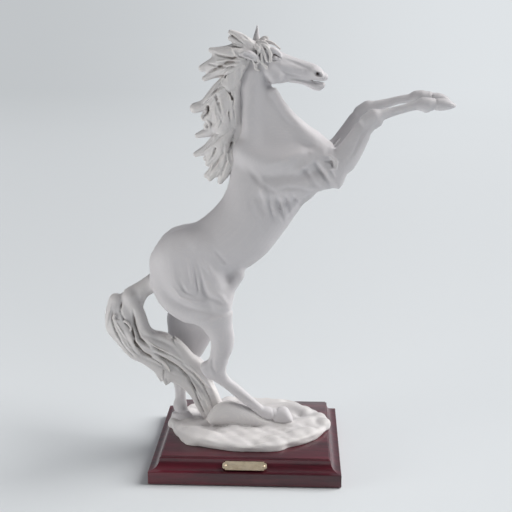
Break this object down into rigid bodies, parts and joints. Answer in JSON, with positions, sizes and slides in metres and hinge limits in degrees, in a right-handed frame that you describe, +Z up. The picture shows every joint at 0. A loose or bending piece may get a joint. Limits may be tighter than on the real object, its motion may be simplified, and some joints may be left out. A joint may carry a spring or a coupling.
{
  "type": "rearing horse statuette",
  "caption": "Free-standing statuette of a rearing horse in white cast resin, pinned to a rocky ground casting on a lacquered wooden plinth with a blank nameplate.",
  "frame": {"origin": "centre of the felt pad's underside, where the plinth rests on a table", "axes": "+Z up, the horse faces +X, the nameplate and the horse's right side look towards -Y"},
  "size_m": [0.3716, 0.19, 0.4655],
  "materials": {
    "resin": "matt white bonded-marble resin",
    "mahogany": "dark red mahogany lacquer, glossy",
    "raw_wood": "unfinished softwood, hidden",
    "brass": "satin brass",
    "steel": "plain steel rod and screws",
    "felt": "dark green felt"
  },
  "bodies": {
    "root": {"torso_casting": "resin", "neck_casting": "resin", "head_casting": "resin", "forelock_casting": "resin", "mane_upper": "resin", "mane_middle": "resin", "mane_lower": "resin", "right_foreleg": "resin", "left_foreleg": "resin", "right_hind_leg": "resin", "left_hind_leg": "resin", "tail_casting": "resin", "ground_casting": "resin", "neck_dowel": "steel", "head_dowel": "steel", "right_foreleg_dowel": "steel", "left_foreleg_dowel": "steel", "right_hind_dowel": "steel", "left_hind_dowel": "steel", "tail_dowel": "steel", "right_foot_pin": "steel", "left_foot_pin": "steel", "tail_foot_pin": "steel", "ground_inserts": "brass", "fixing_screws": "steel", "fixing_washers": "steel", "top_panel": "mahogany", "front_moulding": "mahogany", "back_moulding": "mahogany", "left_moulding": "mahogany", "right_moulding": "mahogany", "corner_blocks": "raw_wood", "bottom_board": "raw_wood", "board_screws": "steel", "felt_pad": "felt", "nameplate": "brass", "nameplate_pins": "brass"}
  },
  "joints": []
}
